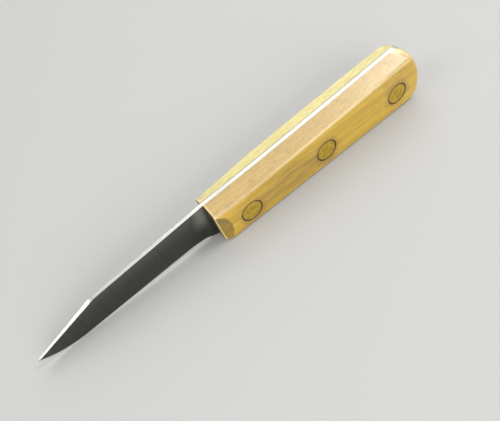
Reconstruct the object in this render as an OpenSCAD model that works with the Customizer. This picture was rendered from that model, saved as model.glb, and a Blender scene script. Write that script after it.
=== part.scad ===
// Small clip-point knife: a full-tang blade, two hardwood scales and three two-part brass rivets.
// X runs towards the tip, Y towards the knife's left side and Z up towards the spine.
// The origin is at the middle of the overall length, on the mid-plane, level with the belly,
// so the knife stands on the flat underside of its handle. Sizes are in millimetres.

/* [Blade] */
// Length of the blade, from the front of the handle to the tip
blade_length = 80.4; // [70:0.1:95]
// Thickness of the steel in the tang and along the spine
steel_thickness = 1.6; // [1.4:0.1:2]
// How far the spine falls between the handle and the corner of the clip
spine_fall = 4.3; // [3:0.1:5]
// Length of the straight clip, measured along the knife
clip_length = 28.5; // [20:0.5:35]
// Lean of the clip's ground face towards the left side, in degrees
clip_lean = 20; // [0:1:45]
// Height of the tip above the belly line
tip_height = 5.5; // [4.5:0.1:6.5]
// Height of the cutting edge above the belly line, where its straight stretch begins
edge_height = 1.9; // [1.7:0.1:3]
// How far the straight stretch of the edge falls towards the tip
edge_fall = 1.6; // [0.5:0.1:1.7]
// Length over which the edge sweeps up to the tip
sweep_length = 24.4; // [18:0.1:28]
// Thickness of the flat that the grind leaves at the edge
edge_land = 0.24; // [0.2:0.02:0.4]

/* [Handle] */
// Length of the handle
handle_length = 104.9; // [98:0.1:112]
// Thickness of the handle across both scales
handle_thickness = 15.4; // [14:0.1:18]
// Height of the handle at its front
front_height = 20; // [19:0.1:22]
// Height that the spine would reach at the butt before rounding
butt_height = 25.8; // [24:0.1:28]
// Height at the front of the ridge between the side and the top facet
ridge_front = 16; // [15:0.1:17]
// Height of that ridge at the butt
ridge_butt = 22.4; // [21:0.1:23.5]
// Radius of the round end of the butt, seen from the side
butt_radius = 24.3; // [22:0.1:30]
// Radius of the lower outer edge of each scale
belly_round = 1.5; // [1:0.1:3]
// Radius that rounds the butt's edge towards each side face
butt_edge = 2.4; // [1:0.1:4]
// Distance that the scales' front ends stand back from the shoulder, at the top
front_setback = 0.3; // [0:0.1:1]
// Backward rake of the scales' front ends, in degrees
front_rake = 3; // [0:0.5:6]

/* [Front relief] */
// Angle at which the front corner of each side face is dished away, in degrees
relief_angle = 26; // [18:1:28]
// Radius of the dished surface
relief_radius = 36; // [30:1:50]
// Reach of the dish back along the side face
relief_reach = 5.4; // [3:0.1:6]

/* [Rivets] */
// Distance from the front of the handle to the first rivet
rivet_inset = 15.2; // [13:0.1:18]
// Distance between rivets
rivet_pitch = 38.45; // [36:0.05:39]
// Height of each rivet as a share of the ridge's height there
rivet_level = 0.44; // [0.42:0.01:0.5]
// Diameter of the flush heads
head_d = 9.2; // [8:0.1:10]
// Thickness of the flush heads
head_h = 1.8; // [1.2:0.1:2.2]
// Outer diameter of the tubular half's barrel
barrel_d = 4.8; // [4.4:0.1:5.4]
// Diameter of the solid half's shank
shank_d = 3.2; // [2.6:0.1:3.4]

/* [Hidden] */

$fn = 96;
far = 200;                                // longer than the knife, for cutting blocks
half_steel = steel_thickness / 2;
half_thickness = handle_thickness / 2;
// The design's own zero is at the front of the handle; this moves the middle of the length to x = 0.
centre_shift = (handle_length - blade_length) / 2;

// Handle lines, as functions of the distance back from the front of the handle
spine_curve = 1.3;                        // exponent: the spine starts level and rises
ridge_curve = 0.8;                        // exponent: the ridge climbs soonest at the front
stations = 16;                            // cross-sections along the handle
function back_share(d) = d / handle_length;
function spine_z(d) = front_height + (butt_height - front_height) * pow(back_share(d), spine_curve);
function ridge_z(d) = ridge_front + (ridge_butt - ridge_front) * pow(back_share(d), ridge_curve);
station_step = handle_length / stations;

// Butt: one large arc, with a round corner above it and another below
butt_mid = 10.5;                          // height of the butt's rearmost point
butt_corner = 6.5;                        // radius of both corners
low_centre_z = butt_corner;
top_centre_z = spine_z(handle_length - butt_corner) - butt_corner;
// Distance back to a corner's centre, so that the corner meets the large arc smoothly
function corner_back(z) =
    handle_length - butt_radius + sqrt(pow(butt_radius - butt_corner, 2) - pow(z - butt_mid, 2));
// Height at which they meet
function meeting_z(z) = butt_mid + (z - butt_mid) * butt_radius / (butt_radius - butt_corner);

// Blade lines
heel_length = 13;                         // stretch behind the edge's straight part
heel_dip = 2.2;                           // how far the heel drops below the edge's line
sweep_curve = 3.2;                        // exponent of the upward sweep
edge_slope = edge_fall / (blade_length - sweep_length - heel_length);
clip_start = blade_length - clip_length;
function edge_line(x) = edge_height - edge_slope * (x - heel_length);
function heel_drop(x) = x < heel_length ? heel_dip * pow(1 - x / heel_length, 2) : 0;
sweep_start = blade_length - sweep_length;
sweep_rise = tip_height - edge_line(blade_length);
function sweep(x) = x > sweep_start ? sweep_rise * pow((x - sweep_start) / sweep_length, sweep_curve) : 0;
function edge_z(x) = edge_line(x) - heel_drop(x) + sweep(x);
heel_points = 8;
sweep_points = 16;

// Flat grind and its plunge
grind_angle = atan((half_steel - edge_land / 2) / (front_height - edge_height));
edge_angle = atan(edge_slope);
plunge_radius = 11;
plunge_start = 4.6;                       // where the full grind begins at the heel
plunge_lean = 6;                          // degrees that the plunge line leans back at the spine

// Fits
bore_gap = 0.05;                          // radial clearance of barrel and heads in the wood and steel
shank_gap = 0.02;                         // radial clearance of the shank in its barrel
head_sink = 0.05;                         // depth of the heads below the side faces
shank_end = -4.6;                         // y at which the shank ends inside its barrel
barrel_end = 5.2;                         // y at which the barrel ends, under the stud's head

rivet_count = 3;
function rivet_back(i) = rivet_inset + i * rivet_pitch;
function rivet_z(i) = rivet_level * ridge_z(rivet_back(i));

// Points of the handle's spine, from its front to its butt
function spine_points() = [for (i = [0:stations]) [-i * station_step, spine_z(i * station_step)]];

// Side view of the handle: x and y of this outline become X and Z of the knife
module handle_side() {
    intersection() {
        polygon(concat([[-handle_length, 0], [0, 0]], spine_points()));
        rounded_butt();
    }
}

// Everything ahead of the rounded end of the butt
module rounded_butt() {
    intersection() {
        translate([-handle_length + butt_radius, butt_mid])
            union() {
                circle(r = butt_radius, $fn = 180);
                translate([0, -far / 2])
                    square([far, far]);
            }
        union() {
            for (z = [low_centre_z, top_centre_z])
                translate([-corner_back(z), z])
                    circle(r = butt_corner);
            translate([-corner_back(low_centre_z), 0])
                square([far, top_centre_z]);
            translate([-corner_back(top_centre_z), low_centre_z])
                square([far, far]);
            translate([-handle_length, meeting_z(low_centre_z)])
                square([far, meeting_z(top_centre_z) - meeting_z(low_centre_z)]);
        }
    }
}

// Side view of the steel: tang and blade in one piece, with spare steel above the clip
module steel_side() {
    spare = 1;
    spine_slope = spine_fall / clip_start;
    heel = [for (i = [0:heel_points - 1])
        let (x = heel_length * i / heel_points) [x, edge_z(x)]];
    belly = [for (i = [0:sweep_points])
        let (x = sweep_start + sweep_length * i / sweep_points) [x, edge_z(x)]];
    above_clip = [[blade_length, tip_height + spare],
        [clip_start + 2 * spare, front_height - spine_fall - 2 * spare * spine_slope]];
    intersection() {
        polygon(concat([[-handle_length, 0], [0, 0]], heel, [[heel_length, edge_height]],
            belly, above_clip, spine_points()));
        rounded_butt();
    }
}

// Stands a side-view outline up, spread evenly about the mid-plane
module stand(width) {
    rotate([90, 0, 0])
        linear_extrude(height = width, center = true)
            children();
}

// Removes the steel outside the flat grind on the left side, with a round plunge at the heel
module grind_cutter() {
    translate([heel_length, edge_land / 2, edge_height])
        rotate([0, edge_angle, 0])
            rotate([-grind_angle, 0, 0])
                translate([plunge_start - heel_length, 0, 0])
                    rotate([0, -plunge_lean, 0]) {
                        translate([0, 0, -far / 2])
                            cube([far, plunge_radius, far]);
                        translate([0, plunge_radius, -far / 2])
                            cylinder(r = plunge_radius, h = far);
                    }
}

// Removes the steel above the clip's ground face
module clip_cutter() {
    clip_drop = front_height - spine_fall - tip_height;
    cut_back = 1.3 * clip_length;         // the cutter starts behind the corner of the clip
    translate([blade_length, 0, tip_height])
        rotate([0, atan(clip_drop / clip_length), 0])
            rotate([-clip_lean, 0, 0])
                translate([-cut_back, -far / 2, 0])
                    cube([far, far, far]);
}

// Round holes through the tang or a scale, one at each rivet
module rivet_holes(d, from_y, to_y) {
    for (i = [0:rivet_count - 1])
        translate([-rivet_back(i), from_y, rivet_z(i)])
            rotate([-90, 0, 0])
                cylinder(d = d, h = to_y - from_y);
}

module blade() {
    color([0.62, 0.63, 0.62])
        difference() {
            stand(steel_thickness)
                steel_side();
            grind_cutter();
            mirror([0, 1, 0])
                grind_cutter();
            clip_cutter();
            rivet_holes(barrel_d + 2 * bore_gap, -steel_thickness, steel_thickness);
        }
}

// Block lofted through the handle's cross-sections: flat side, sloping top facet, flat inner face
module faceted_block() {
    overhang = 1;                         // the butt outline trims this end
    rings = [for (i = [0:stations])
        let (d = i * station_step + (i == stations ? overhang : 0))
        [[-d, half_steel, 0], [-d, half_thickness, 0],
         [-d, half_thickness, ridge_z(d)], [-d, half_steel, spine_z(d)]]];
    ring_size = 4;
    polyhedron(
        points = [for (ring = rings) each ring],
        faces = concat(
            [[3, 2, 1, 0]],
            [for (i = [0:stations - 1], k = [0:ring_size - 1], half = [0, 1])
                let (here = i * ring_size, next = here + ring_size, m = (k + 1) % ring_size)
                half == 0 ? [here + k, here + m, next + m] : [here + k, next + m, next + k]],
            [[for (k = [0:ring_size - 1]) stations * ring_size + k]]));
}

// Cross-section limit that rounds the scale's lower outer edge
module belly_limit() {
    rotate([90, 0, -90])
        linear_extrude(height = 2 * far, center = true)
            mirror([1, 0])
                union() {
                    translate([half_thickness - belly_round, belly_round])
                        circle(r = belly_round);
                    square([half_thickness - belly_round, far]);
                    translate([0, belly_round])
                        square([half_thickness, far]);
                }
}

// Disc with rounded edges, which rounds the butt towards both side faces
module butt_limit() {
    hub = [-handle_length + butt_radius, 0, butt_mid];
    translate(hub)
        rotate([90, 0, 0])
            rotate_extrude($fn = 180)
                intersection() {
                    translate([0, -half_thickness])
                        square([butt_radius, handle_thickness]);
                    union() {
                        for (side = [-1, 1])
                            translate([butt_radius - butt_edge, side * (half_thickness - butt_edge)])
                                circle(r = butt_edge);
                        translate([0, -half_thickness])
                            square([butt_radius - butt_edge, handle_thickness]);
                        translate([0, -half_thickness + butt_edge])
                            square([butt_radius, handle_thickness - 2 * butt_edge]);
                    }
                }
    translate(hub)
        translate([0, -half_thickness, -far / 2])
            cube([far, handle_thickness, far]);
}

// Dish that relieves the front corner of the side face
module front_relief() {
    translate([-relief_reach, half_thickness, rivet_z(0)])
        rotate([0, 0, -relief_angle])
            translate([0, relief_radius, 0])
                rotate([0, 90, 0])
                    cylinder(r = relief_radius, h = far, center = true, $fn = 180);
}

// Left scale as cut; the right scale is its mirror image
module scale_shape() {
    difference() {
        intersection() {
            faceted_block();
            belly_limit();
            butt_limit();
            stand(handle_thickness)
                handle_side();
        }
        translate([-front_setback, 0, front_height])
            rotate([0, front_rake, 0])
                translate([0, -far / 2, -far / 2])
                    cube([far, far, far]);
        front_relief();
        rivet_holes(barrel_d + 2 * bore_gap, 0, handle_thickness);
        rivet_holes(head_d + 2 * bore_gap, half_thickness - head_sink - head_h, handle_thickness);
    }
}

module left_scale() {
    color([0.79, 0.62, 0.34])
        scale_shape();
}

module right_scale() {
    color([0.86, 0.74, 0.42])
        mirror([0, 1, 0])
            scale_shape();
}

// Solid half of a rivet: flush head on the left side and a shank that fills the tubular half
module rivet_stud(i) {
    outer = half_thickness - head_sink;
    color([0.62, 0.56, 0.24])
        translate([-rivet_back(i), 0, rivet_z(i)])
            rotate([-90, 0, 0]) {
                translate([0, 0, outer - head_h])
                    cylinder(d = head_d, h = head_h);
                translate([0, 0, shank_end])
                    cylinder(d = shank_d, h = outer - head_h - shank_end);
            }
}

// Tubular half of a rivet: flush head on the right side and a barrel through both scales
module rivet_tube(i) {
    outer = half_thickness - head_sink;
    color([0.66, 0.58, 0.28])
        translate([-rivet_back(i), 0, rivet_z(i)])
            rotate([-90, 0, 0])
                difference() {
                    union() {
                        translate([0, 0, -outer])
                            cylinder(d = head_d, h = head_h);
                        translate([0, 0, -outer])
                            cylinder(d = barrel_d, h = outer + barrel_end);
                    }
                    translate([0, 0, shank_end - shank_gap])
                        cylinder(d = shank_d + 2 * shank_gap, h = far);
                }
}

module front_rivet_stud() { rivet_stud(0); }
module middle_rivet_stud() { rivet_stud(1); }
module rear_rivet_stud() { rivet_stud(2); }
module front_rivet_tube() { rivet_tube(0); }
module middle_rivet_tube() { rivet_tube(1); }
module rear_rivet_tube() { rivet_tube(2); }

// Moves a piece from the design's own zero to the knife's frame
module placed() {
    translate([centre_shift, 0, 0])
        children();
}

placed() blade();
placed() left_scale();
placed() right_scale();
placed() front_rivet_stud();
placed() middle_rivet_stud();
placed() rear_rivet_stud();
placed() front_rivet_tube();
placed() middle_rivet_tube();
placed() rear_rivet_tube();
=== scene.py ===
import math
import bmesh
import bpy
import numpy as np
from mathutils import Matrix, Vector


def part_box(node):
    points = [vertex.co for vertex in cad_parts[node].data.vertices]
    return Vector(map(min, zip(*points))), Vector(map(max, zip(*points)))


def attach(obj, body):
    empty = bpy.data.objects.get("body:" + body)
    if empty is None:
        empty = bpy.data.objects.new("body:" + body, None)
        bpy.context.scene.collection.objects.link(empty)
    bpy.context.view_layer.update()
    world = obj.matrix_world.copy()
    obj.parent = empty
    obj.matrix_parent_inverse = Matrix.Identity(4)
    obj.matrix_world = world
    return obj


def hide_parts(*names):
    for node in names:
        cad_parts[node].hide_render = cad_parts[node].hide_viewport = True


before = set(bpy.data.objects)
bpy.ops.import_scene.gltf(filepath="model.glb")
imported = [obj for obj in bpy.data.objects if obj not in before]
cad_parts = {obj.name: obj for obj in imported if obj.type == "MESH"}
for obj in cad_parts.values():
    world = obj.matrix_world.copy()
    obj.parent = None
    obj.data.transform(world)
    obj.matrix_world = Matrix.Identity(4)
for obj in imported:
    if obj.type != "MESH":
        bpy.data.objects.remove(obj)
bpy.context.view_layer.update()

# The knife is drawn in millimetres, with x = 0 at the front of the handle, and each mesh is then
# moved to the frame: X towards the tip, Y towards the knife's left side, Z up towards the spine.
MM = 0.001
BLADE_LENGTH = 80.4
SHOULDER_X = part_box("blade")[1][0] / MM - BLADE_LENGTH
HANDLE_LENGTH = SHOULDER_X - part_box("blade")[0][0] / MM
HALF_STEEL = 0.8
HALF_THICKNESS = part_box("left_scale")[1][1] / MM
RIVETS = ("front", "middle", "rear")
HEAD_RADIUS = 4.6
HEAD_DEPTH = 1.8
HEAD_FACE = HALF_THICKNESS - 0.05
RIM_DROP = 0.05
SHANK_RADIUS = 1.6
BARREL_RADIUS = 2.4
BARREL_HOLE = 2.45


# ---------------------------------------------------------------- lines of the knife
FRONT_HEIGHT = 20.0
BUTT_HEIGHT = 25.8
RIDGE_FRONT = 16.0
RIDGE_BUTT = 22.4
BUTT_RADIUS = 24.3
BUTT_MID = 10.5
BUTT_CORNER = 6.5
FRONT_SETBACK = 0.3
FRONT_RAKE = math.radians(3)
SPINE_CURVE = 1.3
RIDGE_CURVE = 0.8


def spine_z(x):
    """Height of the handle's spine."""
    back = np.clip(-x / HANDLE_LENGTH, 0, 1)
    return FRONT_HEIGHT + (BUTT_HEIGHT - FRONT_HEIGHT) * back ** SPINE_CURVE


def ridge_z(x):
    """Height of the ridge between the handle's side and its top facet."""
    back = np.clip(-x / HANDLE_LENGTH, 0, 1)
    return RIDGE_FRONT + (RIDGE_BUTT - RIDGE_FRONT) * back ** RIDGE_CURVE


HUB_X = -HANDLE_LENGTH + BUTT_RADIUS
LOW_CENTRE_Z = BUTT_CORNER
TOP_CENTRE_Z = float(spine_z(-(HANDLE_LENGTH - BUTT_CORNER))) - BUTT_CORNER


def corner_x(z):
    """Where the centre of a butt corner lies, so that it meets the large arc smoothly."""
    return HUB_X - math.sqrt((BUTT_RADIUS - BUTT_CORNER) ** 2 - (z - BUTT_MID) ** 2)


LOW_CENTRE_X = corner_x(LOW_CENTRE_Z)
TOP_CENTRE_X = corner_x(TOP_CENTRE_Z)


def butt_distance(x, z):
    """Distance outside the butt's outline, seen from the side: one large arc and two corners."""
    ahead_slope = 0.6
    result = np.hypot(np.minimum(x - HUB_X, 0), z - BUTT_MID) - BUTT_RADIUS
    for centre_x, centre_z, up in ((TOP_CENTRE_X, TOP_CENTRE_Z, 1), (LOW_CENTRE_X, LOW_CENTRE_Z, -1)):
        out_x, out_z = centre_x - HUB_X, centre_z - BUTT_MID
        beyond = ((x - centre_x) * out_z - (z - centre_z) * out_x) * up
        in_sector = (beyond > 0) & (x < centre_x) & ((z - centre_z) * up > 0)
        ahead = (x >= centre_x) & ((z - centre_z) * up > 0)
        result = np.where(in_sector, np.hypot(x - centre_x, z - centre_z) - BUTT_CORNER, result)
        result = np.where(ahead, (z - centre_z) * up - BUTT_CORNER - ahead_slope * (x - centre_x), result)
    return result


def outline_at(x):
    """Lowest and highest z of the handle's outline at each x."""
    x = np.maximum(x, -HANDLE_LENGTH)
    arc = np.sqrt(np.maximum(BUTT_RADIUS ** 2 - np.minimum(x - HUB_X, 0) ** 2, 0))
    in_top = np.maximum(BUTT_CORNER ** 2 - np.minimum(x - TOP_CENTRE_X, 0) ** 2, 0)
    in_low = np.maximum(BUTT_CORNER ** 2 - np.minimum(x - LOW_CENTRE_X, 0) ** 2, 0)
    grow = BUTT_RADIUS / (BUTT_RADIUS - BUTT_CORNER)
    top_meets_x = HUB_X + (TOP_CENTRE_X - HUB_X) * grow
    low_meets_x = HUB_X + (LOW_CENTRE_X - HUB_X) * grow
    high = np.where(x > top_meets_x, TOP_CENTRE_Z + np.sqrt(in_top), BUTT_MID + arc)
    low = np.where(x > low_meets_x, LOW_CENTRE_Z - np.sqrt(in_low), BUTT_MID - arc)
    return np.maximum(low, 0), np.minimum(high, spine_z(x))


# ---------------------------------------------------------------- small helpers
def noise(x, y, z, seed, size):
    """Smooth, repeatable variation from -1 to 1, as a sum of waves about as long as size."""
    waves, usual_peak = 7, 1.6
    draw = np.random.RandomState(seed)
    total = np.zeros(np.broadcast(x, y, z).shape)
    for _ in range(waves):
        direction = draw.normal(size=3)
        direction /= np.linalg.norm(direction)
        length = size * draw.uniform(0.6, 1.7)
        total = total + np.sin((x * direction[0] + y * direction[1] + z * direction[2])
                               * 2 * math.pi / length + draw.uniform(0, 2 * math.pi))
    return np.clip(total / math.sqrt(waves) / usual_peak, -1, 1)


def smooth_step(value, low, high):
    """0 below low, 1 above high, and a smooth rise between them."""
    t = np.clip((value - low) / (high - low), 0, 1)
    return t * t * (3 - 2 * t)


def meet(a, b, radius):
    """Inside of both surfaces a and b (distances, negative inside), with a rounded edge."""
    radius = np.maximum(radius, 1e-6)
    rounded = np.hypot(np.maximum(a + radius, 0), np.maximum(b + radius, 0)) - radius
    return np.where((a > -radius) & (b > -radius), rounded, np.maximum(a, b))


def mesh_from_grids(name, grids, merge=1e-4):
    """One mesh from grids of points (rows x columns x 3, in mm), joined where their points meet."""
    bm = bmesh.new()
    for grid in grids:
        rows, columns = grid.shape[:2]
        points = [[bm.verts.new(grid[i, j]) for j in range(columns)] for i in range(rows)]
        for i in range(rows - 1):
            for j in range(columns - 1):
                bm.faces.new((points[i][j], points[i][j + 1], points[i + 1][j + 1], points[i + 1][j]))
    bmesh.ops.remove_doubles(bm, verts=bm.verts, dist=merge)
    bmesh.ops.dissolve_degenerate(bm, edges=bm.edges, dist=merge)
    open_edges = [e for e in bm.edges if e.is_boundary]
    if open_edges:
        bmesh.ops.holes_fill(bm, edges=open_edges, sides=0)
    bmesh.ops.recalc_face_normals(bm, faces=bm.faces)
    bmesh.ops.transform(bm, matrix=Matrix.Translation((SHOULDER_X, 0, 0)), verts=bm.verts)
    bmesh.ops.scale(bm, vec=(MM, MM, MM), verts=bm.verts)
    mesh = bpy.data.meshes.new(name)
    bm.to_mesh(mesh)
    bm.free()
    piece = bpy.data.objects.new(name, mesh)
    bpy.context.scene.collection.objects.link(piece)
    return piece


def smooth(piece, sharp_degrees):
    """Smooth shading, broken at edges sharper than an angle."""
    piece.data.polygons.foreach_set("use_smooth", [True] * len(piece.data.polygons))
    piece.data.set_sharp_from_angle(angle=math.radians(sharp_degrees))


def turned(profile, side, segments=96):
    """Grid of a piece turned about a line along Y, from (radius, y) points in mm; side is 1 or -1."""
    angles = np.linspace(0, 2 * math.pi, segments + 1)
    grid = np.zeros((len(angles), len(profile), 3))
    for k, (radius, y) in enumerate(profile):
        grid[:, k, 0] = radius * np.cos(angles)
        grid[:, k, 1] = y * side
        grid[:, k, 2] = radius * np.sin(angles)
    return grid


def cut(piece, cutter):
    """Subtracts a closed mesh from a piece and removes the cutter."""
    boolean = piece.modifiers.new("cut", "BOOLEAN")
    boolean.operation = "DIFFERENCE"
    boolean.solver = "EXACT"
    boolean.object = cutter
    depsgraph = bpy.context.evaluated_depsgraph_get()
    result = bpy.data.meshes.new_from_object(piece.evaluated_get(depsgraph))
    piece.modifiers.clear()
    old = piece.data
    piece.data = result
    bpy.data.meshes.remove(old)
    bpy.data.objects.remove(cutter)


def rivet_centre(place):
    """x and z of a rivet's axis, in mm from the front of the handle."""
    low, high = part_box(place + "_rivet_stud")
    return (low[0] + high[0]) / 2 / MM - SHOULDER_X, (low[2] + high[2]) / 2 / MM


# ---------------------------------------------------------------- materials
def node(tree, kind, inputs=None, **settings):
    """Adds a shader node; inputs holds values or sockets to link, by name or number."""
    made = tree.nodes.new(kind)
    for key, value in settings.items():
        setattr(made, key, value)
    for key, value in (inputs or {}).items():
        if isinstance(value, bpy.types.NodeSocket):
            tree.links.new(value, made.inputs[key])
        else:
            made.inputs[key].default_value = value
    return made


def place_on(tree):
    """Position on the piece, in metres."""
    return node(tree, "ShaderNodeTexCoord").outputs["Object"]


def streaks(tree, per_metre, detail=3, distortion=0.0, offset=0.0):
    """Noise from 0 to 1 whose marks are 1/per_metre long along X, Y and Z."""
    mapping = node(tree, "ShaderNodeMapping", {"Vector": place_on(tree), "Scale": per_metre,
                                               "Location": (offset, offset, offset)})
    noise_node = node(tree, "ShaderNodeTexNoise", {"Vector": mapping.outputs[0], "Scale": 1.0,
                                                   "Detail": detail, "Distortion": distortion})
    return noise_node.outputs[0]


def between(tree, value, low, high, to_low=0.0, to_high=1.0):
    """Remaps value from low..high to to_low..to_high, held at the ends."""
    made = node(tree, "ShaderNodeMapRange", {0: value, 1: low, 2: high, 3: to_low, 4: to_high},
                interpolation_type="SMOOTHSTEP")
    return made.outputs[0]


def arithmetic(tree, operation, a, b):
    """One step of arithmetic on two values or sockets."""
    return node(tree, "ShaderNodeMath", {0: a, 1: b}, operation=operation).outputs[0]


def mixed(tree, share, a, b, blend="MIX"):
    """Colour a with a share of colour b over it."""
    made = node(tree, "ShaderNodeMix", {0: share}, data_type="RGBA", blend_type=blend)
    for socket, color in ((made.inputs[6], a), (made.inputs[7], b)):
        if isinstance(color, bpy.types.NodeSocket):
            tree.links.new(color, socket)
        else:
            socket.default_value = (*color, 1)
    return made.outputs[2]


def mask(tree, name):
    """Value from 0 to 1 stored on the mesh under a name."""
    return node(tree, "ShaderNodeAttribute", attribute_name=name).outputs["Fac"]


def from_rivet(tree):
    """Distance from the nearest rivet's axis, in metres."""
    parts = node(tree, "ShaderNodeSeparateXYZ", {0: place_on(tree)})
    flat = node(tree, "ShaderNodeCombineXYZ", {0: parts.outputs[0], 2: parts.outputs[2]}).outputs[0]
    nearest = None
    for place in RIVETS:
        x, z = rivet_centre(place)
        centre = ((x + SHOULDER_X) * MM, 0, z * MM)
        gap = node(tree, "ShaderNodeVectorMath", {0: flat, 1: centre}, operation="DISTANCE").outputs[1]
        nearest = gap if nearest is None else arithmetic(tree, "MINIMUM", nearest, gap)
    return nearest


def from_point(tree, centre, radii):
    """Distance from a point in mm, in units of the radii in mm."""
    x, y, z = centre
    shift = node(tree, "ShaderNodeVectorMath", {0: place_on(tree),
                                                1: ((x + SHOULDER_X) * MM, y * MM, z * MM)},
                 operation="SUBTRACT").outputs[0]
    scaled = node(tree, "ShaderNodeVectorMath", {0: shift, 1: tuple(radius * MM for radius in radii)},
                  operation="DIVIDE").outputs[0]
    return node(tree, "ShaderNodeVectorMath", {0: scaled}, operation="LENGTH").outputs[1]


def start_material(name):
    """A new material, its node tree and its shader."""
    material = bpy.data.materials.new(name)
    material.use_nodes = True
    return material, material.node_tree, material.node_tree.nodes["Principled BSDF"]


def add_bump(tree, shader, heights):
    """Chains bumps of (height socket, depth in mm) into the shader's normal."""
    normal = None
    for height, depth in heights:
        inputs = {"Height": height, "Distance": depth * MM, "Strength": 1.0}
        if normal is not None:
            inputs["Normal"] = normal
        normal = node(tree, "ShaderNodeBump", inputs).outputs[0]
    tree.links.new(normal, shader.inputs["Normal"])


def wood_material(name, side):
    """Oiled, much-handled hardwood with its grain along the knife; the right scale is painted paler as a lit
    copy of the same wood, and the top facets, dish, front end, seam and arrises carry painted sheen, shade
    and highlights.
    """
    material, tree, shader = start_material(name + "_finish")
    if side > 0:
        offset, end_shade_share, seam_shade_share = 0.0, 0.9, 0.6
        gold, honey, facet_tone = (0.62, 0.405, 0.024), (0.50, 0.31, 0.014), (0.44, 0.31, 0.115)
    else:
        # Right scale: paler, greener tones painted as a lit copy of the left scale's wood, with less painted
        # shade on its end face and more on its seam.
        offset, end_shade_share, seam_shade_share = 7.3, 0.4, 0.9
        gold, honey, facet_tone = (0.66, 0.50, 0.12), (0.55, 0.39, 0.08), (0.69, 0.62, 0.25)
    brown, dark, pale_wear_and_highlight = (0.20, 0.115, 0.03), (0.035, 0.02, 0.008), (0.86, 0.70, 0.36)
    facet_dark = tuple(value * 0.93 for value in facet_tone)
    rings = between(tree, streaks(tree, (14, 230, 330), 4, 0.6, offset), 0.36, 0.66)
    fibres = streaks(tree, (110, 2600, 2600), 3, 0.2, offset + 1)
    fine = streaks(tree, (320, 6500, 6500), 2, 0.0, offset + 2)
    clouds = streaks(tree, (45, 70, 70), 4, 0.4, offset + 3)
    color = mixed(tree, rings, gold, honey)
    # Painted sheen: the top facets get paler, less saturated tones where the light glances off them.
    on_facet = mixed(tree, between(tree, streaks(tree, (20, 300, 300), 3, 0.5, offset + 5), 0.3, 0.7),
                     facet_tone, facet_dark)
    color = mixed(tree, mask(tree, "facet"), color, on_facet)
    color = mixed(tree, between(tree, fibres, 0.35, 0.75, 0.0, 0.32), color, (0.42, 0.25, 0.06),
                  "MULTIPLY")
    color = mixed(tree, between(tree, fine, 0.58, 0.68, 0.0, 0.7), color, brown)
    color = mixed(tree, between(tree, clouds, 0.52, 0.72, 0.0, 0.35), color, (0.40, 0.24, 0.06))
    grip = between(tree, from_point(tree, (-34, 0, 9), (32, 20, 9)), 0.3, 1.1, 1.0, 0.0)
    smears = between(tree, streaks(tree, (60, 420, 420), 5, 0.35, offset + 8), 0.36, 0.62, 0.25, 0.9)
    stain = arithmetic(tree, "MULTIPLY", grip, smears)
    off_facet = arithmetic(tree, "SUBTRACT", 1.0, mask(tree, "facet"))
    color = mixed(tree, arithmetic(tree, "MULTIPLY", stain, off_facet), color, (0.21, 0.125, 0.022))
    # Arrises painted pale: partly real wear, partly painted highlight, strongest round the butt.
    color = mixed(tree, arithmetic(tree, "MULTIPLY", mask(tree, "edge_wear_and_highlight"),
                                   between(tree, clouds, 0.3, 0.6, 0.55, 1.0)), color, pale_wear_and_highlight)
    # The dish is painted darker: painted shade, as it faces away from the light, over darker grimy end
    # grain.
    dish_tone = mixed(tree, between(tree, streaks(tree, (260, 500, 160), 3, 0.8, offset + 6), 0.35, 0.65),
                      (0.28, 0.165, 0.010), (0.16, 0.092, 0.006))
    color = mixed(tree, arithmetic(tree, "MULTIPLY", mask(tree, "dish"), 0.85), color, dish_tone)
    # The front end face is painted nearly black: painted shade, as it lies in shadow, over darker end grain.
    color = mixed(tree, arithmetic(tree, "MULTIPLY", mask(tree, "end_face_shade_and_grain"), end_shade_share), color,
                  (0.06, 0.03, 0.012))
    # Painted shade: a grey shadow line along the seam between the scale and the tang.
    color = mixed(tree, arithmetic(tree, "MULTIPLY", mask(tree, "seam_shade"), seam_shade_share), color,
                  (0.22, 0.21, 0.17))
    ring = between(tree, from_rivet(tree), 4.78 * MM, 5.2 * MM, 1.0, 0.0)
    waver = between(tree, clouds, 0.3, 0.7, -1.2 * MM, 1.2 * MM)
    halo = between(tree, arithmetic(tree, "ADD", from_rivet(tree), waver), 4.7 * MM, 7.4 * MM, 0.5, 0.0)
    color = mixed(tree, halo, color, (0.23, 0.125, 0.018))
    color = mixed(tree, ring, color, dark)
    tree.links.new(color, shader.inputs["Base Color"])
    rough = between(tree, clouds, 0.3, 0.7, 0.36, 0.52)
    tree.links.new(rough, shader.inputs["Roughness"])
    shader.inputs["Coat Weight"].default_value = 0.7
    shader.inputs["Coat Roughness"].default_value = 0.28
    add_bump(tree, shader, [(fibres, 0.05), (between(tree, fine, 0.58, 0.74, 1.0, 0.0), 0.03),
                            (clouds, 0.25)])
    return material


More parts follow.
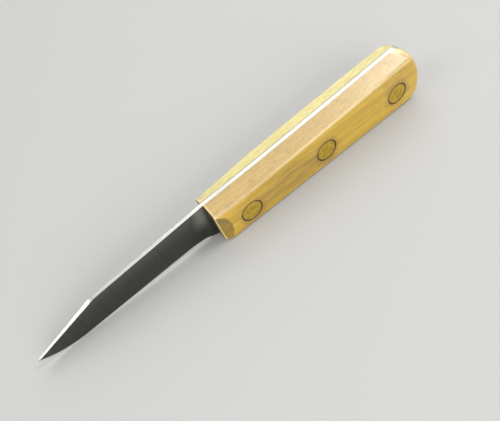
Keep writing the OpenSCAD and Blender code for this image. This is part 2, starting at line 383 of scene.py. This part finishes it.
def steel_material(name, zone):
    """Ground stainless steel with a satin face, bright on the spine; the faces are painted dark and the edge
    painted lighter, as painted reflections of the surroundings.
    """
    material, tree, shader = start_material(name)
    # Face and edge tones are painted reflections, the faces dark and the edge bevel lighter; the spine's
    # tone is the steel's own.
    tones = {"face": ((0.074, 0.078, 0.068), (0.092, 0.096, 0.086)),
             "spine": ((0.49, 0.485, 0.45), (0.58, 0.575, 0.54)),
             "edge": ((0.16, 0.172, 0.152), (0.21, 0.222, 0.20))}[zone]
    across = {"face": (2600, 400, 45), "spine": (60, 2400, 2400), "edge": (3200, 400, 90)}[zone]
    lines = streaks(tree, across, 3)
    clouds = streaks(tree, (60, 60, 60), 4, 0.5, 4.0)
    color = mixed(tree, between(tree, lines, 0.3, 0.7), *tones)
    # Painted sheen on the face over the plunge and below the spine.
    if zone == "face":
        color = mixed(tree, arithmetic(tree, "MULTIPLY", mask(tree, "sheen_patch"), 0.9), color,
                      (0.30, 0.305, 0.28))
    spots = between(tree, streaks(tree, (420, 420, 420), 3, 0.0, 9.0), 0.66, 0.74, 0.0, 0.35)
    color = mixed(tree, spots, color, (0.10, 0.09, 0.07))
    tree.links.new(color, shader.inputs["Base Color"])
    shader.inputs["Metallic"].default_value = 1.0
    low_rough = {"face": 0.30, "spine": 0.36, "edge": 0.26}[zone]
    tree.links.new(between(tree, clouds, 0.3, 0.7, low_rough, low_rough + 0.12),
                   shader.inputs["Roughness"])
    add_bump(tree, shader, [(lines, 0.006)])
    return material


def brass_material():
    """Tarnished brass, sanded flush with the wood, with grime round the rim."""
    material, tree, shader = start_material("tarnished_brass")
    lines = streaks(tree, (180, 3000, 2600), 3)
    clouds = streaks(tree, (520, 520, 520), 4, 0.6)
    color = mixed(tree, between(tree, clouds, 0.35, 0.68), (0.75, 0.53, 0.085), (0.50, 0.35, 0.048))
    color = mixed(tree, between(tree, lines, 0.5, 0.75, 0.0, 0.4), color, (0.32, 0.22, 0.02))
    rim = between(tree, from_rivet(tree), 4.2 * MM, 4.55 * MM)
    color = mixed(tree, rim, color, (0.10, 0.06, 0.015))
    tree.links.new(color, shader.inputs["Base Color"])
    shader.inputs["Metallic"].default_value = 1.0
    tree.links.new(between(tree, clouds, 0.3, 0.7, 0.38, 0.6), shader.inputs["Roughness"])
    add_bump(tree, shader, [(lines, 0.01), (clouds, 0.03)])
    return material


# ---------------------------------------------------------------- handle scales
BELLY_ROUND = 1.5
CAP_START = -90.0
FACET_WIDTH = HALF_THICKNESS - HALF_STEEL


class Relief:
    """Dish that relieves the front corner of a scale's side."""

    def __init__(self, degrees, radius, reach, middle_z):
        self.angle = math.radians(degrees)
        self.radius = radius
        self.reach = reach
        self.middle_z = middle_z

    def y(self, x, z):
        """Outer surface of the wood in the dish."""
        dip = self.radius - np.sqrt(self.radius ** 2 - (z - self.middle_z) ** 2)
        return HALF_THICKNESS + (dip - (x + self.reach) * math.sin(self.angle)) / math.cos(self.angle)


def front_x(z):
    """The raked front end of the scales."""
    return -FRONT_SETBACK - (FRONT_HEIGHT - z) * math.tan(FRONT_RAKE)


def scale_faces(points, seed, relief):
    """Distances outside each face of a left scale, by name; the inner face is left out."""
    uneven, side_wave, top_wave = 0.05, 34, 30
    x, y, z = points[..., 0], points[..., 1], points[..., 2]
    spine, ridge = spine_z(x), ridge_z(x)
    drop = spine - ridge
    top = ((z - spine) * FACET_WIDTH + (y - HALF_STEEL) * drop) / np.hypot(FACET_WIDTH, drop)
    return {
        "side": y - HALF_THICKNESS + uneven * (0.5 + 0.5 * noise(x, 0 * y, z, seed, side_wave)),
        "top": top + (uneven * smooth_step(y, HALF_STEEL, 4)
                      * (0.5 + 0.5 * noise(x, y, z, seed + 1, top_wave))),
        "bottom": -z,
        "front": (x - front_x(z)) * math.cos(FRONT_RAKE),
        "relief": (y - relief.y(x, z)) * math.cos(relief.angle),
        "butt": butt_distance(x, z),
    }


def scale_field(points, seed, relief, worn):
    """Distance outside the left scale with its edges rounded; worn adds to the rounding of the butt."""
    x, y, z = points[..., 0], points[..., 1], points[..., 2]
    face = scale_faces(points, seed, relief)
    away = smooth_step(y, HALF_STEEL, 4.5)
    wear = 0.5 + 0.5 * noise(x, y, z, seed + 2, 9)
    front_wear = smooth_step(x, -30, 0)
    ridge_round = 0.45 + 0.35 * wear + 1.9 * front_wear + 0.6 * smooth_step(-x, 80, 102)
    return np.maximum.reduce([
        meet(face["side"], face["top"], ridge_round),
        meet(face["side"], face["bottom"], BELLY_ROUND + 0.25 * wear),
        meet(face["side"], face["butt"], 1.9 + worn * smooth_step(z, 10, 23)),
        meet(face["top"], face["butt"], (1.3 + 0.8 * worn) * away),
        meet(face["bottom"], face["butt"], 0.4 * away),
        meet(face["side"], face["relief"], 0.25),
        meet(face["top"], face["relief"], 0.4),
        meet(face["bottom"], face["relief"], 1.8),
        meet(face["relief"], face["front"], 0.24 + 0.15 * wear),
        meet(face["top"], face["front"], (0.2 + 0.1 * wear) * away),
        meet(face["bottom"], face["front"], 1.1 * away),
    ])


def paint_scale(piece, side, seed, relief):
    """Stores on the mesh where the wood is worn pale with painted highlights, where painted shade darkens
    the dish, the front end face and the seam (the first two also darker end grain), and where the top facet
    takes its painted sheen.
    """
    count = len(piece.data.vertices)
    points = np.empty(count * 3)
    piece.data.vertices.foreach_get("co", points)
    points = points.reshape(-1, 3) / MM * np.array([1, side, 1]) - np.array([SHOULDER_X, 0, 0])
    face = scale_faces(points, seed, relief)
    # Arris strengths mix real wear with painted highlight, highest at the butt where the light falls.
    edges = [("side", "top", 0.45), ("side", "bottom", 0.9), ("relief", "front", 0.8), ("top", "front", 0.6),
             ("side", "butt", 0.8), ("top", "butt", 1.0), ("bottom", "relief", 0.8)]
    worn = np.zeros(count)
    for one, other, strength in edges:
        near = smooth_step(np.minimum(face[one], face[other]), -1.1, -0.1)
        if (one, other) == ("side", "top"):
            near = near * (0.1 + 0.9 * smooth_step(-points[:, 0], 12, 55))
        worn = np.maximum(worn, strength * near)
    in_dish = smooth_step(face["relief"], -0.22, -0.08) * smooth_step(-face["front"], 0.25, 0.6)
    end_face_shade_and_grain = smooth_step(face["front"], -0.3, -0.1) * smooth_step(-face["relief"], 0.1, 0.5)
    seam_shade = 1 - smooth_step(points[:, 1], HALF_STEEL + 0.1, HALF_STEEL + (0.35 if side > 0 else 0.8))
    masks = {"edge_wear_and_highlight": worn, "dish": in_dish, "end_face_shade_and_grain": end_face_shade_and_grain, "seam_shade": seam_shade,
             "facet": smooth_step(face["top"], -0.9, -0.2)}
    for name, values in masks.items():
        layer = piece.data.attributes.new(name, "FLOAT", "POINT")
        layer.data.foreach_set("value", values.astype(np.float32))


def settle(points, field, held_y):
    """Moves points onto the surface where field is zero; held_y marks those that stay in their y plane."""
    step, rounds, damping, least_slope2 = 1e-3, 8, 0.9, 0.05
    for _ in range(rounds):
        value = field(points)
        gradient = np.zeros_like(points)
        for axis in range(3):
            shift = np.zeros(3)
            shift[axis] = step
            gradient[..., axis] = (field(points + shift) - field(points - shift)) / (2 * step)
        gradient[..., 1] = np.where(held_y, 0, gradient[..., 1])
        slope2 = np.maximum((gradient ** 2).sum(-1), least_slope2)
        points = points - damping * gradient * (value / slope2)[..., None]
    return points


def spaced(low, high, count, low_share=1.0, high_share=1.0):
    """count points from low to high, closer together at an end whose share is under 1."""
    end_zone = 0.3
    t = np.linspace(0, 1, count)
    weight = low_share + (1 - low_share) * np.clip(t / end_zone, 0, 1)
    weight = weight * (high_share + (1 - high_share) * np.clip((1 - t) / end_zone, 0, 1))
    run = np.concatenate([[0], np.cumsum((weight[1:] + weight[:-1]) / 2)])
    return low + (high - low) * run / run[-1]


def section_ring(x_at, relief):
    """Outer section of the left scale, from its inner bottom edge to its inner top edge.

    x_at gives x for a height, so that the ring can follow the raked front."""
    bottom_count, side_count, top_count, rounds = 14, 60, 26, 20

    def outer_y(z):
        return min(HALF_THICKNESS, float(relief.y(x_at(z), z)))

    spine = float(spine_z(x_at(FRONT_HEIGHT)))
    ridge = RIDGE_FRONT
    for _ in range(rounds):
        full_drop = spine - float(ridge_z(x_at(ridge)))
        ridge = spine - full_drop * (outer_y(ridge) - HALF_STEEL) / FACET_WIDTH
    ring = [(x_at(0.0), y, 0.0) for y in spaced(HALF_STEEL, outer_y(0.0), bottom_count, 1, 0.25)]
    ring += [(x_at(z), outer_y(z), z) for z in spaced(0, ridge, side_count, 0.25, 0.3)[1:]]
    for t in spaced(0, 1, top_count, 0.25, 1)[1:]:
        z = ridge + (spine - ridge) * t
        ring.append((x_at(z), outer_y(ridge) * (1 - t) + HALF_STEEL * t, z))
    return np.array(ring)


def path_length(points):
    """Distance run along a line of points, at each point."""
    return np.concatenate([[0], np.cumsum(np.linalg.norm(np.diff(points, axis=0), axis=1))])


def butt_cap(ring):
    """Grid from a ring over the rounded butt to its outline at the inner face."""
    turn = np.linspace(0, math.pi / 2, 600)
    x = ring[0, 0] + (-HANDLE_LENGTH - ring[0, 0]) * np.sin(turn)
    low, high = outline_at(x)
    outline = np.concatenate([np.stack([x, low], 1), np.stack([x, high], 1)[::-1][1:]])
    run, ring_run = path_length(outline), path_length(ring)
    at = ring_run / ring_run[-1] * run[-1]
    end = np.stack([np.interp(at, run, outline[:, 0]), np.full(len(ring), HALF_STEEL),
                    np.interp(at, run, outline[:, 1])], 1)
    squareness = 0.45
    rows = []
    for t in np.linspace(0, math.pi / 2, 40):
        forward, inward = math.sin(t) ** squareness, 1 - math.cos(t) ** squareness
        share = np.array([forward, inward, (forward + inward) / 2])
        rows.append(ring + (end - ring) * share)
    return np.array(rows)


def front_end(ring):
    """Grid from the first ring across the front end to the inner face."""
    run = path_length(ring)
    z = ring[-1, 2] * run / run[-1]
    column = np.stack([front_x(z), np.full(len(ring), HALF_STEEL), z], 1)
    shares = np.concatenate([[0, 0.012, 0.025, 0.045, 0.07, 0.11], np.linspace(0.17, 1, 12)])
    return np.array([ring + (column - ring) * share for share in shares])


def drill_for_rivet(piece, place, side):
    """Barrel hole and counterbore, with a slightly opened mouth, as left by the rivet's fitting."""
    x, z = rivet_centre(place)
    head_hole, mouth, mouth_chamfer = 4.66, 4.74, 0.15
    floor_y = HEAD_FACE - HEAD_DEPTH
    beyond = HALF_THICKNESS + 0.5
    profile = [(0, -1), (BARREL_HOLE, -1), (BARREL_HOLE, floor_y), (head_hole, floor_y),
               (head_hole, HALF_THICKNESS - 0.2), (mouth, HALF_THICKNESS - 0.07),
               (mouth + mouth_chamfer, beyond), (0, beyond)]
    grid = turned(profile, side, 128) + np.array([x, 0, z])
    cut(piece, mesh_from_grids("hole", [grid]))


def scale_piece(name, cad_node, side, seed, relief, worn):
    """One handle scale: skin along the handle, the rounded butt, the front end and the inner face."""
    distances = np.concatenate([[0, 0.08, 0.16, 0.26, 0.4, 0.6, 0.85], np.arange(1.15, 7.5, 0.3),
                                np.linspace(7.8, -CAP_START, 96)])
    rings = []
    for share in distances / -CAP_START:
        rings.append(section_ring(lambda z: front_x(z) * (1 - share) + CAP_START * share, relief))
    skin = np.array(rings)
    grids = []
    for grid in (skin, butt_cap(skin[-1]), front_end(skin[0])):
        held = np.abs(grid[..., 1] - HALF_STEEL) < 1e-6
        grid = settle(grid, lambda points: scale_field(points, seed, relief, worn), held)
        grids.append(grid * np.array([1, side, 1]))
    grids[1][0] = grids[0][-1]
    grids[2][0] = grids[0][0]
    piece = mesh_from_grids(name, grids)
    for place in RIVETS:
        drill_for_rivet(piece, place, side)
    smooth(piece, 28)
    paint_scale(piece, side, seed, relief)
    piece.data.materials.append(wood_material(name, side))
    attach(piece, "root")
    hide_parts(cad_node)


# ---------------------------------------------------------------- blade
SPINE_FALL = 4.3
CLIP_LENGTH = 28.5
CLIP_LEAN = math.radians(20)
TIP_HEIGHT = 5.5
EDGE_HEIGHT = 1.9
EDGE_FALL = 1.6
SWEEP_LENGTH = 24.4
HALF_LAND = 0.12
HEEL_LENGTH = 13.0
HEEL_DIP = 2.2
SWEEP_CURVE = 3.2
BEVEL_SLOPE = math.tan(math.radians(15))
GRIND_SHARE = 0.88
PLUNGE_RADIUS = 11.0
PLUNGE_START = 4.6
PLUNGE_LEAN = math.radians(6)
CLIP_START = BLADE_LENGTH - CLIP_LENGTH
EDGE_SLOPE = EDGE_FALL / (BLADE_LENGTH - SWEEP_LENGTH - HEEL_LENGTH)
GRIND_SLOPE = (HALF_STEEL - HALF_LAND) / (FRONT_HEIGHT - EDGE_HEIGHT)
CLIP_ANGLE = math.atan((FRONT_HEIGHT - SPINE_FALL - TIP_HEIGHT) / CLIP_LENGTH)


def edge_line(x):
    """Height of the edge's straight stretch, carried on both ways."""
    return EDGE_HEIGHT - EDGE_SLOPE * (x - HEEL_LENGTH)


def edge_z(x):
    """Height of the cutting edge."""
    start = BLADE_LENGTH - SWEEP_LENGTH
    rise = TIP_HEIGHT - edge_line(BLADE_LENGTH)
    dip = HEEL_DIP * np.maximum(1 - x / HEEL_LENGTH, 0) ** 2
    return edge_line(x) - dip + rise * (np.maximum(x - start, 0) / SWEEP_LENGTH) ** SWEEP_CURVE


def top_z(x, y):
    """Height of the spine, or of the clip's leaning ground face."""
    spine = FRONT_HEIGHT - SPINE_FALL * x / CLIP_START
    clip = (TIP_HEIGHT + math.tan(CLIP_ANGLE) * (BLADE_LENGTH - x)
            - y * math.tan(CLIP_LEAN) / math.cos(CLIP_ANGLE))
    return np.minimum(spine, clip)


def half_width(x, z):
    """Half the blade's thickness: a flat grind from near the spine, with a round plunge at the heel."""
    flat_top = HALF_LAND + (top_z(x, 0) - edge_line(x)) * GRIND_SLOPE / GRIND_SHARE
    height = np.maximum(top_z(x, 0) - edge_z(x), 0.3)
    face = HALF_LAND + (flat_top - HALF_LAND) * (z - edge_z(x)) / height
    plunge_x = PLUNGE_START - (z - edge_line(x)) * math.tan(PLUNGE_LEAN)
    run = np.clip(plunge_x - x, 0, PLUNGE_RADIUS)
    ramp = PLUNGE_RADIUS - np.sqrt(PLUNGE_RADIUS ** 2 - run ** 2)
    point = 0.02 + 0.3 * np.maximum(BLADE_LENGTH - x, 0)
    return np.minimum(np.minimum(HALF_STEEL, face + ramp), point)


def sheen_patch(x, z):
    """Where the blade's face is lighter: 1 in the middle of the plunge's run, less below the spine."""
    plunge_x = PLUNGE_START - (z - edge_line(x)) * math.tan(PLUNGE_LEAN)
    patch_run, spine_share = 5.0, 0.28
    run = (plunge_x - x) / patch_run
    plunge = smooth_step(run, -0.9, 0.1) * (1 - smooth_step(run, 0.15, 0.9)) * smooth_step(z, 6, 15)
    rise = (z - edge_line(x)) / (FRONT_HEIGHT - EDGE_HEIGHT)
    return np.maximum(plunge, spine_share * smooth_step(rise, 0.45, 1.0))


def bevel_height(x):
    """Height of the sharpened bevel above the edge, a little taller round the sweep."""
    return 0.32 + 0.25 * smooth_step(x, 62, 78)


def side_outline(x, side, low, high, ease):
    """Points up one side of the section at x, from the edge to the middle of the top."""
    side_points, least_edge_half, top_rounds = 34, 0.012, 12
    if x < 0:
        bevel, edge_half, top = ease, HALF_STEEL - ease, high
    else:
        bevel = min(float(bevel_height(x)), (high - low) * 0.4)
        bevel_half = float(half_width(x, low + bevel))
        edge_half = max(least_edge_half, bevel_half - bevel * BEVEL_SLOPE)
        top = high
        for _ in range(top_rounds):
            top = float(top_z(x, side * float(half_width(x, top))))
        top = max(top, low + bevel)
    points = [(edge_half, low)]
    last = max(top - ease, low + bevel)
    for z in np.linspace(low + bevel, last, side_points):
        points.append((HALF_STEEL if x < 0 else float(half_width(x, z)), z))
    wide = points[-1][0]
    soften = min(ease, wide * 0.5, top - last)
    inner = wide - soften
    inner_z = top if x < 0 else max(float(top_z(x, side * inner)), last)
    points.append((wide - soften * 0.3, last + (inner_z - last) * 0.7))
    points.append((inner, inner_z))
    return [(side * y, z) for y, z in points]


def blade_ring(x):
    """Section of the blade or tang at x, once round, as points in mm."""
    if x < 0:
        low, high = (float(v) for v in outline_at(np.array(x)))
    else:
        low = float(edge_z(x))
        high = max(float(top_z(x, 0)), low)
    ease = min(0.07, (high - low) / 6)
    loop = side_outline(x, 1, low, high, ease) + side_outline(x, -1, low, high, ease)[::-1]
    loop.append(loop[0])
    return np.array([(x, y, z) for y, z in loop])


def steel_zones(piece):
    """Gives the spine and clip the bright ground steel and the sharpened edge its lighter painted
    reflection, leaving the faces their painted dark reflection with a painted sheen patch.
    """
    points = np.empty(len(piece.data.vertices) * 3)
    piece.data.vertices.foreach_get("co", points)
    points = points.reshape(-1, 3) / MM
    layer = piece.data.attributes.new("sheen_patch", "FLOAT", "POINT")
    layer.data.foreach_set("value", sheen_patch(points[:, 0] - SHOULDER_X, points[:, 2]).astype(np.float32))
    for material in (steel_material("steel_face_painted_dark_reflection", "face"), steel_material("steel_spine", "spine"),
                     steel_material("steel_edge_painted_reflection", "edge")):
        piece.data.materials.append(material)
    steepest, lowest_spine, bevel_starts, bevel_share = 0.75, 3, 0.5, 0.9
    for polygon in piece.data.polygons:
        x, _, z = (value / MM for value in polygon.center)
        x -= SHOULDER_X
        if abs(polygon.normal.y) < steepest and z > lowest_spine:
            polygon.material_index = 1
        elif x > bevel_starts and z < float(edge_z(x)) + bevel_height(x) * bevel_share:
            polygon.material_index = 2


def blade_piece():
    """Blade and tang, lofted through sections that are closest together at the heel, clip and ends."""
    butt_run, shoulder = 14, 0.012
    turn = np.linspace(0, math.pi / 2, 40)
    butt = -HANDLE_LENGTH + butt_run * (1 - np.cos(turn))
    tang = np.linspace(-HANDLE_LENGTH + butt_run, -shoulder, 40)[1:]
    heel = np.concatenate([[shoulder], np.arange(0.2, 6.5, 0.18)])
    body = np.linspace(6.8, CLIP_START - 2, 46)
    corner = np.linspace(CLIP_START - 1.8, CLIP_START + 3, 28)
    front = np.linspace(CLIP_START + 3.3, BLADE_LENGTH - 3, 52)
    tip = BLADE_LENGTH - 2.8 * (1 - np.linspace(0, 1, 26)) ** 1.5
    stations = np.concatenate([butt, tang, heel, body, corner, front, tip])
    grid = np.array([blade_ring(float(x)) for x in stations])
    piece = mesh_from_grids("knife_blade", [grid], merge=2e-3)
    for place in RIVETS:
        x, z = rivet_centre(place)
        profile = [(0, -2), (BARREL_HOLE, -2), (BARREL_HOLE, 2), (0, 2)]
        cut(piece, mesh_from_grids("hole", [turned(profile, 1, 64) + np.array([x, 0, z])]))
    smooth(piece, 7)
    steel_zones(piece)
    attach(piece, "root")
    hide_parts("blade")


# ---------------------------------------------------------------- rivets
def head_profile():
    """Flush head from its centre to its underside: nearly flat, with a softened rim."""
    face = [(HEAD_RADIUS * t, HEAD_FACE - RIM_DROP * t ** 4) for t in np.linspace(0, 0.955, 14)]
    rim = []
    rim_round = 0.16
    for t in np.linspace(0, math.pi / 2, 6)[1:]:
        rim.append((HEAD_RADIUS - rim_round + rim_round * math.sin(t),
                    HEAD_FACE - RIM_DROP - rim_round * (1 - math.cos(t))))
    return face + rim + [(HEAD_RADIUS, HEAD_FACE - HEAD_DEPTH)]


def rivet_piece(place, half, brass):
    """One half of a compression rivet: 'stud' is solid, 'tube' has a barrel."""
    profile = head_profile()
    side = 1 if half == "stud" else -1
    if half == "stud":
        shank_end = -4.6
        profile += [(SHANK_RADIUS, HEAD_FACE - HEAD_DEPTH), (SHANK_RADIUS, shank_end + 0.3),
                    (SHANK_RADIUS - 0.3, shank_end), (0, shank_end)]
    else:
        barrel_end = -5.2
        bore_end = 4.62
        bore_radius = SHANK_RADIUS + 0.02
        profile += [(BARREL_RADIUS, HEAD_FACE - HEAD_DEPTH), (BARREL_RADIUS, barrel_end + 0.15),
                    (BARREL_RADIUS - 0.15, barrel_end), (bore_radius + 0.1, barrel_end),
                    (bore_radius, barrel_end + 0.1), (bore_radius, bore_end), (0, bore_end)]
    x, z = rivet_centre(place)
    grid = turned(profile, side) + np.array([x, 0, z])
    seed = 40 + RIVETS.index(place) + (10 if half == "tube" else 0)
    dent_depth, dent_size, dented_skin = 0.035, 4.5, 0.12
    outer = np.abs(grid[..., 1]) > HEAD_FACE - dented_skin
    dents = dent_depth * (0.5 + 0.5 * noise(grid[..., 0], 0 * grid[..., 0], grid[..., 2], seed, dent_size))
    grid[..., 1] = grid[..., 1] - side * np.where(outer, dents, 0)
    piece = mesh_from_grids(place + "_rivet_" + half + "_brass", [grid])
    smooth(piece, 35)
    piece.data.materials.append(brass)
    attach(piece, "root")
    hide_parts(place + "_rivet_" + half)


# ---------------------------------------------------------------- floor, light and camera
def add_floor():
    """Pale level floor under the knife."""
    half_side = 3
    bm = bmesh.new()
    bmesh.ops.create_grid(bm, x_segments=1, y_segments=1, size=half_side)
    mesh = bpy.data.meshes.new("floor")
    bm.to_mesh(mesh)
    bm.free()
    floor = bpy.data.objects.new("floor", mesh)
    bpy.context.scene.collection.objects.link(floor)
    material = bpy.data.materials.new("pale_floor")
    material.use_nodes = True
    shader = material.node_tree.nodes["Principled BSDF"]
    shader.inputs["Base Color"].default_value = (0.38, 0.38, 0.378, 1)
    shader.inputs["Roughness"].default_value = 0.9
    mesh.materials.append(material)


def add_area(name, location, target, size, power, color):
    """Rectangular light at a place in metres, turned towards a target."""
    light = bpy.data.lights.new(name, "AREA")
    light.shape = "RECTANGLE"
    light.size, light.size_y = size
    light.energy = power
    light.color = color
    lamp = bpy.data.objects.new(name, light)
    lamp.location = location
    lamp.rotation_euler = (Vector(target) - Vector(location)).to_track_quat("-Z", "Y").to_euler()
    bpy.context.scene.collection.objects.link(lamp)


def add_lights():
    """Dim surroundings and five soft lights; three of them each brighten the part they are named after."""
    world = bpy.data.worlds.new("studio")
    bpy.context.scene.world = world
    world.use_nodes = True
    background = world.node_tree.nodes["Background"]
    background.inputs["Color"].default_value = (0.95, 0.97, 1.0, 1)
    background.inputs["Strength"].default_value = 0.5
    knife = (0, 0, 0.01)
    add_area("key_light", (-0.62, -0.42, 0.78), knife, (1.5, 1.4), 11.5, (1.0, 0.99, 0.96))
    add_area("spine_light", (0.10, -0.72, 0.90), knife, (0.9, 0.5), 1.3, (1.0, 1.0, 0.98))
    add_area("butt_light", (-0.64, 0.20, 0.92), knife, (0.3, 0.3), 4.4, (1.0, 1.0, 0.98))
    add_area("clip_light", (0.78, -0.05, 0.72), knife, (0.5, 0.5), 3.2, (1.0, 1.0, 0.98))
    add_area("fill_light", (0.10, 0.80, 0.45), knife, (0.9, 0.5), 6.5, (1.0, 0.97, 0.90))


def add_camera():
    """Camera above the knife's left side, rolled so that the tip points down and to the left."""
    location = Vector((0.0425, 0.13536, 0.19227))
    looks_at = Vector((-0.00417, 0.0016, 0))
    roll = math.radians(22.4)
    data = bpy.data.cameras.new("camera")
    data.sensor_width = 36
    data.lens = 42.91
    data.clip_start = 0.01
    camera = bpy.data.objects.new("camera", data)
    backward = (location - looks_at).normalized()
    right = Vector((0, 0, 1)).cross(backward).normalized()
    up = backward.cross(right)
    turned_up = up * math.cos(roll) + right * math.sin(roll)
    turned_right = right * math.cos(roll) - up * math.sin(roll)
    camera.matrix_world = Matrix.Translation(location) @ Matrix(
        (turned_right, turned_up, backward)).transposed().to_4x4()
    bpy.context.scene.collection.objects.link(camera)
    bpy.context.scene.camera = camera


add_camera()
add_floor()
add_lights()
bpy.context.scene.view_settings.view_transform = "Standard"
blade_piece()
scale_piece("left_scale_wood", "left_scale", 1, 3, Relief(26, 36, 5.4, 7.9), 0.9)
scale_piece("right_scale_wood", "right_scale", -1, 11, Relief(20, 26, 5.0, 6.5), 4.0)
brass = brass_material()
for half in ("stud", "tube"):
    for place in RIVETS:
        rivet_piece(place, half, brass)
